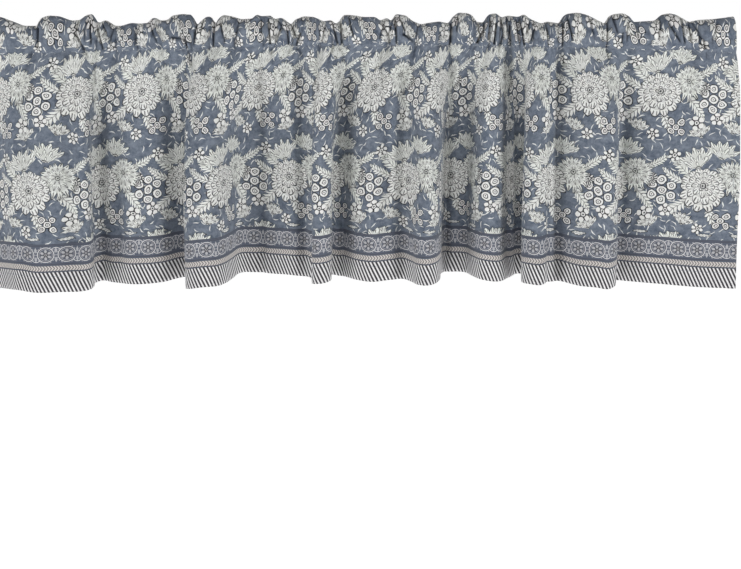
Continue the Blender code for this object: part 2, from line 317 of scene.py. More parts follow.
def hung_cloth(name, columns, rows, place, chart, materials):
    """A sheet with its points at place(column, row), its flat chart as a UV map in metres, a
    thicker hem along both sides, and the wrong side and the cut edges in the second material."""
    bm = bmesh.new()
    across, along = len(columns) - 1, len(rows) - 1
    made = bmesh.ops.create_grid(bm, x_segments=across, y_segments=along, size=0.5)
    verts = made["verts"]
    columns_at = columns[[round((v.co.x + 0.5) * across) for v in verts]]
    rows_at = rows[[round((v.co.y + 0.5) * along) for v in verts]]
    for vert, point in zip(verts, place(columns_at, rows_at)):
        vert.co = point
    flat_chart = bm.loops.layers.uv.new("cloth")
    charted = np.column_stack(chart(columns_at, rows_at))
    bm.verts.index_update()
    for face in bm.faces:
        for loop in face.loops:
            loop[flat_chart].uv = charted[loop.vert.index]
    sides = np.minimum(columns_at, FLAT_WIDTH - columns_at)
    hemmed = [index for index in range(len(sides)) if sides[index] < SIDE_HEM]
    piece = finished(name, bm, materials)
    wall = piece.modifiers.new("cloth thickness", "SOLIDIFY")
    piece.vertex_groups.new(name="hem").add(hemmed, 1, "REPLACE")
    wall.vertex_group = "hem"
    wall.thickness_vertex_group = HEM_SHARE
    wall.thickness = THICK
    wall.offset = 0
    wall.use_even_offset = False
    wall.material_offset = 1
    wall.material_offset_rim = 1
    return piece


# The cloth of every piece is one plain-weave cotton, printed in slate blue, off-white and charcoal.
# The print is drawn from measures of the flat cloth, so it runs unbroken through the folds.


def feed(entry, value):
    """Links a node's input to a measure or socket, or sets it to a plain value."""
    if isinstance(value, Measure):
        value = value.socket
    if isinstance(value, bpy.types.NodeSocket):
        entry.id_data.links.new(value, entry)
    else:
        entry.default_value = value


def set_up(node, **values):
    """Feeds a node's inputs, each by its name with underscores for spaces."""
    for name, value in values.items():
        feed(node.inputs[name.replace("_", " ")], value)


def new_node(tree, kind, **values):
    node = tree.nodes.new("ShaderNode" + kind)
    set_up(node, **values)
    return node


class Measure:
    """A number that is worked out at each point of the cloth, as a socket of a shader tree."""

    def __init__(self, socket):
        self.socket = socket

    def calc(self, operation, *values, clamp=False):
        node = new_node(self.socket.id_data, "Math")
        node.operation = operation
        node.use_clamp = clamp
        for entry, value in zip(node.inputs, values):
            feed(entry, value)
        return Measure(node.outputs[0])

    def __add__(self, other):
        return self.calc("ADD", self, other)

    def __sub__(self, other):
        return self.calc("SUBTRACT", self, other)

    def __rsub__(self, other):
        return self.calc("SUBTRACT", other, self)

    def __mul__(self, other):
        return self.calc("MULTIPLY", self, other)

    def __truediv__(self, other):
        return self.calc("DIVIDE", self, other)

    def __pow__(self, other):
        return self.calc("POWER", self, other)

    def __abs__(self):
        return self.calc("ABSOLUTE", self)

    __radd__ = __add__
    __rmul__ = __mul__

    def floor(self):
        return self.calc("FLOOR", self)

    def fract(self):
        return self.calc("FRACT", self)

    def root(self):
        return self.calc("SQRT", self)

    def sine(self):
        return self.calc("SINE", self)

    def cosine(self):
        return self.calc("COSINE", self)

    def larger(self, other):
        return self.calc("MAXIMUM", self, other)

    def smaller(self, other):
        return self.calc("MINIMUM", self, other)

    def inside(self, edge, soft):
        """1 where this is less than edge, fading to 0 over soft."""
        return self.calc("MULTIPLY_ADD", self - edge, -1 / soft, 0.5, clamp=True)

    def line(self, middle, half_width, soft):
        """1 within half_width of middle."""
        return abs(self - middle).inside(half_width, soft)

    def edge_distance(self):
        """0 at a whole number, 1 half way between two."""
        return self.calc("PINGPONG", self, 0.5) * 2


SOFT = 0.25  # mm over which a printed edge fades
INK_LINE = 0.58  # mm, half the width of a drawn line


def new_group(name, inputs, outputs):
    """An empty node group with sockets by name and kind, and its two end nodes."""
    tree = bpy.data.node_groups.new(name, "ShaderNodeTree")
    for socket, kind in inputs.items():
        tree.interface.new_socket(name=socket, in_out="INPUT", socket_type="NodeSocket" + kind)
    for socket, kind in outputs.items():
        tree.interface.new_socket(name=socket, in_out="OUTPUT", socket_type="NodeSocket" + kind)
    return tree, tree.nodes.new("NodeGroupInput"), tree.nodes.new("NodeGroupOutput")


def split(vector):
    node = new_node(vector.id_data, "SeparateXYZ", Vector=vector)
    return Measure(node.outputs[0]), Measure(node.outputs[1])


def joined(x, y):
    return new_node(x.socket.id_data, "CombineXYZ", X=x, Y=y).outputs[0]


def polar(x, y):
    """Distance from the middle, and turns round it."""
    return (x * x + y * y).root(), x.calc("ARCTAN2", y, x) / math.tau


def motif_group(name, draw, inputs):
    """A drawn motif: draw(x, y, values) gives where its paper-white shape and its ink lines are."""
    kinds = {"Place": "Vector"} | {socket: "Float" for socket in inputs}
    tree, entry, result = new_group(name, kinds, {"Shape": "Float", "Ink": "Float"})
    x, y = split(entry.outputs["Place"])
    values = [Measure(entry.outputs[socket]) for socket in inputs]
    shape, ink = draw(x, y, *values)
    set_up(result, Shape=shape, Ink=ink)
    return tree


HEART_UP = 0.16  # how far a flower's heart is above its middle, as a share of its size
PETAL_TIP = 0.93  # how far out in its ring the longest part of a petal is
TWIST = 0.37  # petals by which each ring is turned from the one inside it
FAN_OPEN = 0.17  # half of a palmette's spread, in turns


def draw_bloom(x, y, size, rings, first, more, depth, point, veins):
    """A full flower: rings of overlapping petals, more of them in each outer ring. Its heart is a
    little above the middle, as of a flower seen from below."""
    away, turn = polar(x, y)
    ring = away / size * rings * (1 + y / size * HEART_UP)
    which = ring.floor()
    step = ring - which
    petal = turn * (first + which * more) + which * TWIST
    side = 1 - petal.edge_distance()
    tip = PETAL_TIP - depth * side**point
    shape = (ring - rings + 1 - tip).inside(0, 0.08)
    edge = (abs(step - tip) * size / rings).inside(INK_LINE, SOFT)
    own = (step - tip).inside(0, 0.05)
    drawn = (petal * veins).edge_distance().inside(0.3, 0.25) * own
    drawn = drawn * (step - tip).line(-0.42, 0.3, 0.1)
    heart = away.line(size * 0.12, INK_LINE, SOFT).larger(away.inside(size * 0.05, SOFT))
    ink = edge.larger(drawn * 0.95).larger(heart).larger((1 - own) * 0.2)
    return shape, ink * ring.inside(rings, 0.15)


def draw_fan(x, y, size, rings, first, more, depth, point, veins):
    """A palmette: the upper part of a full flower."""
    shape, ink = draw_bloom(x, y, size, rings, first, more, depth, point, veins)
    upper = abs(polar(x, y)[1] - 0.25).inside(FAN_OPEN, 0.008)
    return shape * upper, ink * upper


def draw_leaf(x, y, size, lobes, width, curve):
    """A deeply toothed leaf that grows upward from its foot and curves to one side."""
    along = y / size
    bend = x - along * along * size * curve
    beside = abs(bend) / size
    tooth = (along * lobes - beside * lobes * 0.9).edge_distance()
    profile = (along * (1 - along)).larger(0) ** 0.6 * width * 2.3
    past = (beside - profile * (0.4 + tooth * 0.6)) * size
    between = profile.calc("GREATER_THAN", profile, 0.01)
    blade = past.inside(0, SOFT) * between
    veins = tooth.inside(0.2, 0.2).larger(abs(bend).inside(0.3, SOFT)) * blade
    outline = abs(past).inside(INK_LINE * 0.8, SOFT) * between
    return blade, outline.larger(veins * 0.9)


def draw_daisy(x, y, size, petals, heart, fullness):
    """A flat flower of separate petals round a ringed heart."""
    away, turn = polar(x, y)
    share = away / size
    side = 1 - (turn * petals).edge_distance()
    half = (1 - ((share - 0.6) / 0.42) ** 2).larger(0) ** 0.5 * fullness
    gap = (side - half) * away * math.pi / petals
    petal = gap.inside(0, SOFT) * share.inside(1.02, 0.02)
    inner = (share - heart).inside(0, 0.03)
    ring = away.line(heart * size, INK_LINE, SOFT)
    dot = away.inside(heart * size * 0.4, SOFT)
    outline = abs(gap).inside(INK_LINE, SOFT) * share.inside(1.04, 0.03) * (1 - inner)
    return petal.larger(inner), outline.larger(ring).larger(dot)


def draw_buttons(x, y, size, count, spread):
    """A cluster of small round flowers: one in the middle and a ring of them."""
    away, turn = polar(x, y)
    angle = ((turn * count).fract() - 0.5) * math.tau / count
    along = away * angle.cosine() - spread
    beside = away * angle.sine()
    near = (along * along + beside * beside).root().smaller(away)
    rim = near.line(size, INK_LINE, SOFT)
    ring = near.line(size * 0.45, INK_LINE * 0.9, SOFT)
    dot = near.inside(size * 0.13, SOFT)
    return near.inside(size, SOFT), rim.larger(ring).larger(dot)


FLOWER_SIZES = ("Size", "Rings", "First", "More", "Depth", "Point", "Veins")
bloom = motif_group("full bloom", draw_bloom, FLOWER_SIZES)
fan = motif_group("palmette", draw_fan, FLOWER_SIZES)
daisy = motif_group("daisy", draw_daisy, ("Size", "Petals", "Heart", "Fullness"))
buttons = motif_group("button flowers", draw_buttons, ("Size", "Count", "Spread"))
leaf = motif_group("toothed leaf", draw_leaf, ("Size", "Lobes", "Width", "Curve"))

# The print's half-drop repeat: how wide it is, how far apart its rows are, and where one main
# flower of it is on the cloth, from the left side and above the hem
REPEAT, ROW = 127, 130
MAIN_FLOWER = (17, 273)
BORDER_TOP = 68
SPRIG_UP = BORDER_TOP + 6
SPRIG_TOOTH = 4


def repeat_group():
    """Where a point of the cloth is from the nearest copy of a motif, turned to the motif."""
    kinds = {"Cloth": "Vector", "Right": "Float", "Up": "Float", "Turn": "Float"}
    tree, entry, result = new_group("half-drop repeat", kinds, {"Place": "Vector"})
    u, v = split(entry.outputs["Cloth"])
    right = u - Measure(entry.outputs["Right"]) - MAIN_FLOWER[0]
    up = v - Measure(entry.outputs["Up"]) - MAIN_FLOWER[1]
    row = (up / ROW + 0.5).floor()
    x = right.calc("WRAP", right - row * (REPEAT / 2), REPEAT / 2, -REPEAT / 2)
    y = up - row * ROW
    turned = new_node(tree, "VectorRotate")
    turned.rotation_type = "Z_AXIS"
    set_up(turned, Vector=joined(x, y), Angle=entry.outputs["Turn"])
    set_up(result, Place=turned.outputs[0])
    return tree


repeat = repeat_group()


def dye(red, green, blue):
    """A colour as seen on a screen, from 0 to 255, in the shader's own scale."""
    levels = (red / 255, green / 255, blue / 255)
    scaled = [c / 12.92 if c < 0.04045 else ((c + 0.055) / 1.055) ** 2.4 for c in levels]
    return (*scaled, 1)


PAPER = dye(243, 245, 244)
SAGE = dye(228, 231, 222)
BLUSH = dye(235, 231, 229)
INK = dye(16, 18, 26)

# Motifs of one repeat, the lowest first: where each is from the main flower, how it is turned, how
# far its white leans from the blush colour, 0, to the sage colour, 1, and the values of its group
MOTIFS = (  # group, right, up, turn in degrees, tint, values
    (leaf, -16, -14, -142, 0.5, (44, 8, 0.22, 0.25)),
    (leaf, 6, -24, 172, 0.6, (36, 7, 0.2, -0.2)),
    (leaf, 36, -4, 132, 0.8, (42, 8, 0.21, 0.2)),
    (leaf, -22, 4, -76, 0.7, (36, 8, 0.2, 0.3)),
    (fan, 60, -62, -24, 0.5, (23, 3, 6, 5, 0.8, 1.0, 2)),
    (fan, -28, -56, 20, 0.6, (22, 3, 5, 5, 0.8, 1.0, 2)),
    (leaf, -16, 14, -54, 1.0, (40, 8, 0.23, 0.2)),
    (leaf, 54, 24, 68, 0.9, (30, 7, 0.23, -0.2)),
    (fan, -6, 24, -22, 0.8, (37, 3, 6, 5, 0.85, 1.1, 3)),
    (fan, 22, 38, 12, 1.0, (32, 3, 6, 5, 0.85, 1.0, 3)),
    (buttons, -54, -8, 0.3, 0.2, (6.4, 6, 14.2)),
    (buttons, 24, -48, 0.9, 0.1, (4.8, 4, 9.4)),
    (daisy, -40, 42, 10, 0.4, (8.5, 6, 0.35, 0.9)),
    (daisy, 60, 8, 0, 0.3, (8, 12, 0.4, 0.9)),
    (daisy, 52, -42, 0, 0.3, (10, 5, 0.32, 0.95)),
    (daisy, -48, -36, 20, 0.0, (9, 5, 0.32, 0.95)),
    (daisy, -6, -60, 50, 0.2, (8, 6, 0.34, 0.95)),
    (bloom, 38, 16, 0, 0.9, (25, 3, 8, 5, 0.85, 1.1, 2)),
    (bloom, 0, 0, 8, 0.35, (30, 4, 5, 3, 0.7, 2.4, 3)),
)


def group_node(tree, group, **values):
    node = new_node(tree, "Group")
    node.node_tree = group
    set_up(node, **values)
    return node


def blend(tree, share, under, over, how="MIX"):
    """A mix of two colours, each a socket or a plain colour."""
    node = new_node(tree, "Mix", Factor=share)
    node.data_type = "RGBA"
    node.blend_type = how
    feed(node.inputs[6], under)
    feed(node.inputs[7], over)
    return node.outputs[2]


def noise_node(vector, scale, detail=2.0, roughness=0.5):
    node = new_node(vector.id_data, "TexNoise", Vector=vector)
    set_up(node, Scale=scale, Detail=detail, Roughness=roughness)
    return node


def vector_math(operation, *values):
    node = new_node(values[0].id_data, "VectorMath")
    node.operation = operation
    for entry, value in zip(node.inputs, values):
        feed(entry, value)
    return node.outputs[0]


STRAYS = ((2.6, 13), (0.8, 3.5))  # how far a drawn line strays, and over what length, in mm


def hand_drawn(vector, reach, scale):
    """The same places shifted a little to and fro, as a hand would draw."""
    wander = noise_node(vector, scale, 1.0).outputs["Color"]
    to_and_fro = (2 * reach, 2 * reach, 0), (-reach, -reach, 0)
    return vector_math("ADD", vector, vector_math("MULTIPLY_ADD", wander, *to_and_fro))


STROKE_CELL = 10.5  # mm from one stroke to the next, about
STROKE_WIDE = 0.62  # mm, half the width of a stroke at its middle
STROKES_LEFT_OUT = 0.25  # share of the places that stay empty


def scattered_strokes(cloth):
    """Small white strokes on the ground between the flowers, each at its own angle."""
    cells = new_node(cloth.id_data, "TexVoronoi")
    cells.voronoi_dimensions = "2D"
    set_up(cells, Vector=cloth, Scale=1 / STROKE_CELL, Randomness=0.9)
    x, y = split(cloth)
    middle_x, middle_y = split(cells.outputs["Position"])
    chance, other = split(cells.outputs["Color"])
    angle = chance * math.tau
    dx, dy = x - middle_x, y - middle_y
    along = dx * angle.cosine() + dy * angle.sine()
    beside = dy * angle.cosine() - dx * angle.sine()
    bent = beside - along * along * 0.05
    stroke = (abs(bent) + along * along * 0.028).inside(STROKE_WIDE, SOFT)
    return stroke * (1 - other.inside(STROKES_LEFT_OUT, 0.01))


def flower_print():
    """The field of flowers: how much of the paper white, of its tint and of the ink there is."""
    outputs = {"Shape": "Float", "Tint": "Float", "Ink": "Float"}
    tree, entry, result = new_group("flower print", {"Cloth": "Vector"}, outputs)
    cloth = entry.outputs["Cloth"]
    for reach, length in STRAYS:
        cloth = hand_drawn(cloth, reach, 1 / length)
    u, v = split(cloth)
    # a row of small toothed sprigs that lie along the border
    sprig = (u / (REPEAT / 3)).edge_distance() / 0.5
    past = abs(v - SPRIG_UP) - (1 - sprig * sprig) * ((u / SPRIG_TOOTH).edge_distance() + 1.6)
    shape = scattered_strokes(cloth).larger(past.inside(0, SOFT))
    tint = shape * 0.5
    ink = abs(past).inside(INK_LINE * 0.7, SOFT).larger(v.line(SPRIG_UP, 0.2, SOFT))
    ink = ink * sprig.inside(1, 0.05)
    for group, right, up, turn, lean, values in MOTIFS:
        turned = math.radians(turn)
        place = group_node(tree, repeat, Cloth=cloth, Right=right, Up=up, Turn=turned)
        motif = group_node(tree, group, Place=place.outputs[0])
        for socket, value in zip(motif.inputs[1:], values):
            socket.default_value = value
        drawn = Measure(motif.outputs["Shape"])
        clear = 1 - drawn
        shape = shape.larger(drawn)
        tint = tint * clear + drawn * lean
        ink = (ink * clear).larger(Measure(motif.outputs["Ink"]))
    set_up(result, Shape=shape, Tint=tint, Ink=ink)
    return tree


# The printed border, from the hem up, in mm
STRIPES_TOP = 28
STRIPE_PITCH = 5.0
STRIPE_LEAN = 0.45
STRIPE_SHARE = 0.52  # charcoal's share of the pitch
CHEVRON = (30, 37)
CHEVRON_PITCH = 3.8
CHEVRON_SLANT, CHEVRON_SHARE = 0.8, 0.55  # run sideways for its height, and share that stays beige
VINE = (41.5, 64)
VINE_LINE = 0.4  # half the width of its stem
RING_PITCH = REPEAT / 5
RING_SIZE, RING_LINE = 10.2, 0.42
INNER_RING = RING_SIZE - 2
BEADS, BEAD_RING = 18, RING_SIZE + 1.6
RING_FLOWER = 7.2
LEAF_UP, LEAF_SIZE = 6.5, 2.0  # of the small leaves between the rings
# The dark lines between its bands: how far up, and half their width
RULES = ((STRIPES_TOP + 1, 0.45), (39.3, 0.4), (VINE[1] + 1.2, 0.4), (BORDER_TOP - 0.8, 0.4))


def border_print():
    """The border's own drawing: where its white and its charcoal are, over the vine's ground."""
    outputs = {"White": "Float", "Beige": "Float", "Ink": "Float", "Within": "Float"}
    tree, entry, result = new_group("border print", {"Cloth": "Vector"}, outputs)
    u, v = split(entry.outputs["Cloth"])
    stripes = v.inside(STRIPES_TOP, SOFT)
    stripe = ((u + v * STRIPE_LEAN) / STRIPE_PITCH).edge_distance().inside(STRIPE_SHARE, 0.12)
    middle = sum(CHEVRON) / 2
    chevrons = v.line(middle, (CHEVRON[1] - CHEVRON[0]) / 2, SOFT)
    slant = (u + abs(v - middle) * CHEVRON_SLANT) / CHEVRON_PITCH
    chevron = slant.edge_distance().inside(CHEVRON_SHARE, 0.2)
    vine_middle = sum(VINE) / 2
    vine = v.line(vine_middle, (VINE[1] - VINE[0]) / 2, SOFT)
    along = u.calc("WRAP", u, RING_PITCH / 2, -RING_PITCH / 2)
    up = v - vine_middle
    away, turn = polar(along, up)
    ring = away.line(RING_SIZE, RING_LINE, SOFT)
    inner = away.line(INNER_RING, 0.3, SOFT)
    beads = (turn * BEADS).edge_distance().inside(0.5, 0.2) * away.line(BEAD_RING, 0.5, SOFT)
    wave = (u * (math.pi / RING_PITCH)).sine() * RING_SIZE
    stem = abs(up - wave).inside(VINE_LINE, SOFT) * (1 - away.inside(RING_SIZE, SOFT))
    place = joined(along, up)
    flower = group_node(
        tree, daisy, Place=place, Size=RING_FLOWER, Petals=6, Heart=0.3, Fullness=0.9
    )
    petals = Measure(flower.outputs["Shape"])
    outline = Measure(flower.outputs["Ink"])
    corner = u.calc("WRAP", u + RING_PITCH / 2, RING_PITCH / 2, -RING_PITCH / 2)
    leaves = (abs(corner) + abs(abs(up) - LEAF_UP) * 0.5).inside(LEAF_SIZE, SOFT)
    vine_white = ring.larger(stem).larger(inner * 0.5).larger(beads * 0.45)
    vine_white = vine_white.larger(petals * 0.5).larger(leaves * 0.5) * vine
    vine_ink = (outline * petals).larger(away.line(RING_SIZE - 1.0, 0.35, SOFT) * 0.6) * vine
    rules = v.line(*RULES[0], SOFT)
    for height, half_width in RULES[1:]:
        rules = rules.larger(v.line(height, half_width, SOFT))
    white = (stripes * (1 - stripe)).larger(vine_white)
    ink = (stripes * stripe).larger(vine_ink).larger(rules * 0.55)
    ink = ink.larger(chevrons * (1 - chevron) * 0.75)
    set_up(result, White=white, Beige=chevrons, Ink=ink, Within=v.inside(BORDER_TOP, SOFT))
    return tree


flowers = flower_print()
border = border_print()

GROUND_DARK, GROUND_PALE = dye(62, 74, 94), dye(142, 151, 163)
BORDER_GROUND = dye(93, 99, 113)
BEIGE = dye(218, 213, 209)
STRIPE_WHITE = dye(238, 237, 238)
STRIPE_INK = dye(62, 60, 65)
BLOTCH = 12  # mm across the uneven places of the dye


def printed_colour():
    """The whole print: its colour at a place of the flat cloth, in mm."""
    tree, entry, result = new_group("printed cloth", {"Cloth": "Vector"}, {"Colour": "Color"})
    cloth = entry.outputs["Cloth"]
    field = group_node(tree, flowers, Cloth=cloth)
    edge = group_node(tree, border, Cloth=cloth)
    blotch = noise_node(cloth, 1 / BLOTCH, 5.0, 0.8)
    patchy = Measure(blotch.outputs["Fac"]) - 0.5
    patchy = patchy.calc("MULTIPLY_ADD", patchy, 2.2, 0.5, clamp=True)
    ground = blend(tree, patchy, GROUND_DARK, GROUND_PALE)
    white = blend(tree, Measure(field.outputs["Tint"]), BLUSH, SAGE)
    white = blend(tree, patchy, white, PAPER)
    colour = blend(tree, Measure(field.outputs["Shape"]), ground, white)
    colour = blend(tree, Measure(field.outputs["Ink"]) * 0.95, colour, INK)
    band = blend(tree, Measure(edge.outputs["Beige"]), BORDER_GROUND, BEIGE)
    band = blend(tree, Measure(edge.outputs["White"]), band, STRIPE_WHITE)
    band = blend(tree, Measure(edge.outputs["Ink"]), band, STRIPE_INK)
    colour = blend(tree, Measure(edge.outputs["Within"]), colour, band)
    set_up(result, Colour=colour)
    return tree


THREAD = 0.42  # mm from one thread to the next
SLUB = 2.5  # mm along the thicker places of a thread
# The hollows' brightness is a painted shade, multiplied into the cloth's colour.
HOLLOW_SHADE = 0.92  # brightness of the hollows between the threads
WEAVE_BUMP, WEAVE_DEPTH = 0.35, 0.2 * MM
WRONG_SIDE = dye(176, 178, 181)
SHOWS_THROUGH = 0.45  # share of the print's colour that shows on the wrong side


def cotton_weave():
    """A plain weave: its height, and the painted shade that makes the hollows between its threads
    darker.
    """
    outputs = {"Height": "Float", "Shade": "Float"}
    tree, entry, result = new_group("plain weave", {"Cloth": "Vector"}, outputs)
    u, v = split(entry.outputs["Cloth"])
    warp = (u * (math.pi / THREAD)).sine()
    weft = (v * (math.pi / THREAD)).sine()
    over = warp * weft
    slubs = noise_node(entry.outputs["Cloth"], 1 / SLUB)
    height = over * over + Measure(slubs.outputs["Fac"]) * 0.8
    set_up(result, Height=height, Shade=over * over * 0.12 + HOLLOW_SHADE)
    return tree


printed = printed_colour()
weave = cotton_weave()


def raise_surface(shader, height, strength, depth):
    """Fine relief on the shader's normal."""
    bump = new_node(shader.id_data, "Bump", Height=height, Strength=strength, Distance=depth)
    set_up(shader, Normal=bump.outputs[0])


def new_material(name):
    """A material and its shader."""
    material = bpy.data.materials.new(name)
    material.use_nodes = True
    return material, material.node_tree.nodes["Principled BSDF"]


def cotton(name, wrong_side):
    """The printed cotton, or its wrong side, where the print shows through faintly."""
    material, shader = new_material(name)
    tree = material.node_tree
    chart = new_node(tree, "UVMap")
    chart.uv_map = "cloth"
    cloth = vector_math("MULTIPLY", chart.outputs[0], [1 / MM] * 3)
    colour = group_node(tree, printed, Cloth=cloth).outputs["Colour"]
    threads = group_node(tree, weave, Cloth=cloth)
    if wrong_side:
        share = Measure(threads.outputs["Shade"]) * SHOWS_THROUGH
        colour = blend(tree, share, WRONG_SIDE, colour)
    # Painted shade: the weave's hollows are darkened in the colour itself.
    colour = blend(tree, 1, colour, threads.outputs["Shade"], "MULTIPLY")
    raise_surface(shader, threads.outputs["Height"], WEAVE_BUMP, WEAVE_DEPTH)
    set_up(shader, Base_Color=colour, Roughness=0.86, Specular_IOR_Level=0.25)
    set_up(shader, Sheen_Weight=0.12, Sheen_Roughness=0.5)
    return material


right_side = cotton("printed cotton", False)
wrong_side = cotton("cotton wrong side", True)

POCKET_COLUMNS = 1050
FRONT_ROWS, BACK_ROWS = 30, 14
CROWDING, CROWD_REACH = 1.6, 5 * MM  # how much closer columns are at a crease, and how near to it


def pocket_columns():
    """Flat places of the pocket's columns, closer together at the creases."""
    flat = np.linspace(0, FLAT_WIDTH, 6 * POCKET_COLUMNS)
    ends = np.array(CREASES)[:, [0, 2]] * MM
    creased = np.concatenate([ends @ (1 - share, share) for share in (0, 0.25, 0.5, 0.75, 1)])
    creased = np.sort(np.interp(creased, gather_across, gather_flat))
    near = np.abs(flat[:, None] - creased).min(axis=1)
    crowded = np.cumsum(1 + CROWDING * np.exp(-((near / CROWD_REACH) ** 2)))
    return np.interp(np.linspace(crowded[0], crowded[-1], POCKET_COLUMNS), crowded, flat)


def pocket_chart(flat, turn):
    return flat, DROP + POCKET * (1 - turn / math.pi)


pocket = hung_cloth(
    "gathered_pocket",
    pocket_columns(),
    np.append(np.linspace(math.pi, 0, FRONT_ROWS, False), np.linspace(0, -math.pi, BACK_ROWS)),
    pocket_surface,
    pocket_chart,
    (right_side, wrong_side),
)
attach(pocket, "root")
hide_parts("rod_pocket")

# Hanging drop
# The same cloth under the stitching. Its small pleats run together into a few large folds, which
# swing out to the front and back at the hem. The hem is turned up to the back and sewn.

FOLD_SETTLE = 62 * MM  # length of cloth over which the tucks open into the hem's folds
SEAM_TUCK = 2.5 * MM  # how far the drop reaches up into the pocket's seam
HEM_UP = 24 * MM  # how much of the hem is turned up to the back
HEM_GAP = 1.3 * MM  # between the middles of its two layers
HEM_CLOSED = 0.35  # share of that gap which is closed at the turned-up edge
FOLD_ROUND = 0.8 * MM  # length over which the fold opens to that gap
WAVER_LENGTH = 22 * MM  # length over which the puckers' lift of the seam is evened out
LOOSE_FROM = 90 * MM  # length below which the cloth is free of the gathering
PLEAT_OUT, PLEAT_LENGTH = 2.4 * MM, 26 * MM  # small pleats that run down from the puckers
PLEAT_START, CREASE_START = 6 * MM, 3 * MM  # length over which pleats and creases set in
CREASE_IN, CREASE_LIP = 9 * MM, 2 * MM  # depth of a pressed crease here, and height of its lips
TROUGH_START, TROUGH_END = 30, 60  # mm over which a trough sets in and fades
STEEPER, SHALLOWER = 0.7, 0.3  # how much narrower and wider the sides of a steep trough are

# Soft unevenness of the drop, as for the pocket
SWAY_OUT = (2.0 * MM, 0.045, 0.11, 2.9)
SWAY_ACROSS = (1.5 * MM, 0.06, 0.09, 5.4)
DROP_CRUMPLE = (1.6 * MM, 0.016, 0.05, 7.7)
CRUMPLE_LENGTH = 70 * MM

# Soft troughs that run down the drop between its folds
TROUGHS = (  # across at the top, across at the hem, depth, width, from, to, steeper side
    (-486, -484, 7, 10, 40, 300, 0), (-417, -415, 13, 11, 25, 290, 0),
    (-386, -384, 10, 8, 10, 330, -0.6), (-354, -356, 9, 9, 15, 300, 0.6),
    (-326, -328, 5, 8, 40, 300, 0), (-285, -274, 10, 11, 20, 330, 0),
    (-250, -250, 6, 8, 20, 200, -0.8), (-204, -204, 8, 9, 30, 300, 0),
    (-156, -156, 8, 6, 20, 330, 0.4), (-95, -92, 18, 9, 10, 330, 0.6),
    (-41, -39, 17, 11, 10, 330, -0.8), (16, 18, 13, 10, 10, 240, -0.7),
    (46, 45, 10, 9, 30, 330, 0), (109, 107, 22, 11, 10, 330, 0.5), (141, 140, 7, 7, 10, 250, 0.5),
    (189, 196, 27, 8, 5, 330, 0), (242, 241, 11, 8, 10, 280, 0),
    (262, 266, 20, 10, 10, 330, -0.6), (358, 356, 6, 10, 10, 200, 0.5),
)

# The line of the hem, seen from above and read from left to right: how far each point is from the
# middle, how far it stands out from the rod's plane, and how far it is above a level hem
HEM_LINE = (  # across, out, up
    (-538, -16, 0), (-520, 2, 1), (-495, 30, 2.5), (-466, 41, 0), (-436, 39, 0), (-408, 32, -1),
    (-396, 24, 0), (-393, 8, 2), (-396, -10, 2), (-389, -20, 3.5), (-366, -10, 2.5),
    (-332, 9, 2.5), (-298, 0, 3.5), (-276, -16, 5.5), (-262, -26, 6), (-253, -24, 6),
    (-254, -6, 3), (-262, 12, -3), (-257, 30, -3), (-234, 43, 1), (-216, 35, 1), (-206, 20, 2),
    (-198, -4, 4), (-188, -28, 8), (-169, -42, 6), (-141, -34, 5), (-113, -18, 5), (-92, -8, 3),
    (-78, -2, 3), (-76, 8, 2), (-83, 18, 0), (-80, 27, 0), (-69, 31, 1), (-58, 24, 3),
    (-55, 8, 5), (-58, -10, 6), (-53, -21, 5), (-42, -16, 3), (-20, 7, 2), (3, 19, 1),
    (27, 14, 3), (46, 8, 2.5), (58, 20, 1), (66, 36, 0), (78, 45, 0), (91, 36, 1), (99, 14, 3),
    (102, -14, 6), (110, -32, 6), (124, -37, 7), (137, -30, 7), (145, -8, 6), (157, 12, 4),
    (174, 12, 1.5), (190, 4, 1), (201, -18, 1), (211, -36, 5), (221, -35, 5), (223, -18, 4),
    (215, -2, 3), (214, 16, 2), (223, 28, 2), (238, 32, 1), (246, 26, 3), (249, 15, 3),
    (257, 10, 2.5), (275, 13, 2), (296, 28, 0), (316, 38, 0), (331, 39, -2), (343, 28, 1),
    (347, 10, 3.5), (345, -6, 3), (353, -11, 3.5), (367, -5, 3.5), (406, 10, 3.5), (462, 19, 2),
    (514, 24, 2),
)

hem = smooth_line(np.column_stack([column(HEM_LINE, index) for index in range(3)]))
hem_flat = np.concatenate(([0.0], np.cumsum(np.linalg.norm(np.diff(hem, axis=0), axis=1))))
hem_flat *= FLAT_WIDTH / hem_flat[-1]


def troughs(across, down):
    """How far the troughs set the cloth back."""
    depth = 0 * across
    for top, foot, deep, wide, start, end, steep in TROUGHS:
        beside = across - (top + (foot - top) * down / DROP) * MM
        lean = abs(steep)
        wide = wide * np.where(beside * steep > 0, 1 - STEEPER * lean, 1 + SHALLOWER * lean)
        run = np.clip((down / MM - start) / TROUGH_START + 0.5, 0, 1)
        run *= np.clip((end - down / MM) / TROUGH_END + 0.5, 0, 1)
        depth += deep * MM * np.exp(-((beside / (wide * MM)) ** 2)) * run
    return depth


